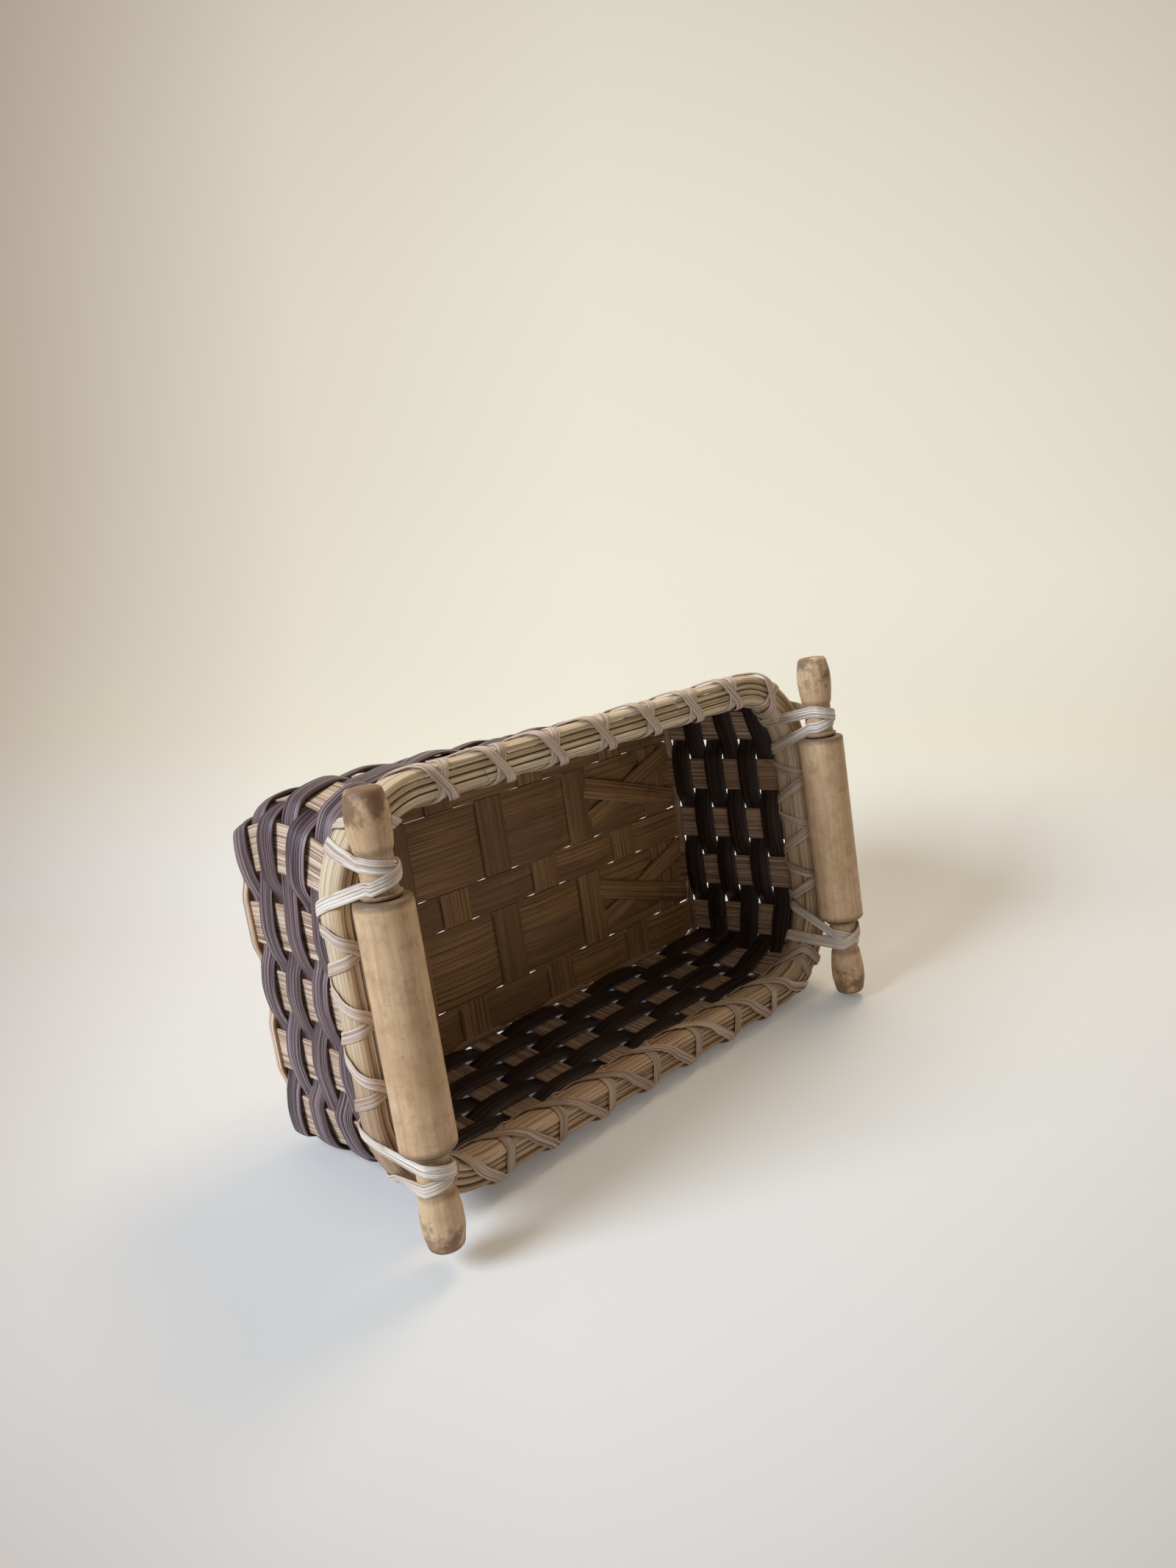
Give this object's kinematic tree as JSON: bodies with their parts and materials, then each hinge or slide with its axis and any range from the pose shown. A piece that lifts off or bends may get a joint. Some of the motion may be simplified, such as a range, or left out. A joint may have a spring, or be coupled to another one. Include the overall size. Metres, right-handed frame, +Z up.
{
  "type": "biscuit basket",
  "caption": "Oblong woven reed basket with dark weavers, a lashed rim and a small rolling pin lashed along each short rim as a handle.",
  "frame": {"origin": "under the middle of the base, on the plane that the basket stands on", "axes": "+X along the basket from the left pin to the right pin, +Y to the back long wall, +Z up out of the mouth"},
  "size_m": [0.3058, 0.1794, 0.1159],
  "materials": {
    "natural_reed": "dry, matt",
    "dark_reed": "dyed, satin",
    "rim_reed": "smooth, satin",
    "lashing_reed": "dry, satin",
    "pin_wood": "smooth, worn"
  },
  "bodies": {
    "basket": {"base_filler_back": "natural_reed", "base_filler_front": "natural_reed", "base_row": "natural_reed", "cross_stake_1": "natural_reed", "cross_stake_2": "natural_reed", "cross_stake_3": "natural_reed", "cross_stake_4": "natural_reed", "cross_stake_5": "natural_reed", "cross_stake_6": "natural_reed", "cross_stake_7": "natural_reed", "cross_stake_8": "natural_reed", "cross_stake_9": "natural_reed", "long_stake_back": "natural_reed", "long_stake_front": "natural_reed", "long_stake_middle": "natural_reed", "pin_lashing_left_back": "lashing_reed", "pin_lashing_left_front": "lashing_reed", "pin_lashing_right_back": "lashing_reed", "pin_lashing_right_front": "lashing_reed", "pin_left_axle": "pin_wood", "pin_left_handle_back": "pin_wood", "pin_left_handle_front": "pin_wood", "pin_right_axle": "pin_wood", "pin_right_handle_back": "pin_wood", "pin_right_handle_front": "pin_wood", "rim_filler_inner": "rim_reed", "rim_filler_outer": "rim_reed", "rim_inner_band": "rim_reed", "rim_lashing_back": "lashing_reed", "rim_lashing_front": "lashing_reed", "rim_lashing_left": "lashing_reed", "rim_lashing_right": "lashing_reed", "rim_outer_band": "rim_reed", "rim_row": "natural_reed", "weaver_row_1": "dark_reed", "weaver_row_2": "dark_reed", "weaver_row_3": "dark_reed", "weaver_row_4": "dark_reed", "weaver_row_5": "dark_reed", "weaver_row_6": "dark_reed"},
    "left_barrel": {"pin_left_barrel": "pin_wood"},
    "right_barrel": {"pin_right_barrel": "pin_wood"}
  },
  "joints": [
    {"name": "left_barrel_turn", "type": "hinge", "parent": "basket", "child": "left_barrel", "pos_m": [-0.13899, 0, 0.10465], "axis": [0, 1, 0], "continuous": true},
    {"name": "right_barrel_turn", "type": "hinge", "parent": "basket", "child": "right_barrel", "pos_m": [0.13899, 0, 0.10465], "axis": [0, 1, 0], "continuous": true}
  ]
}
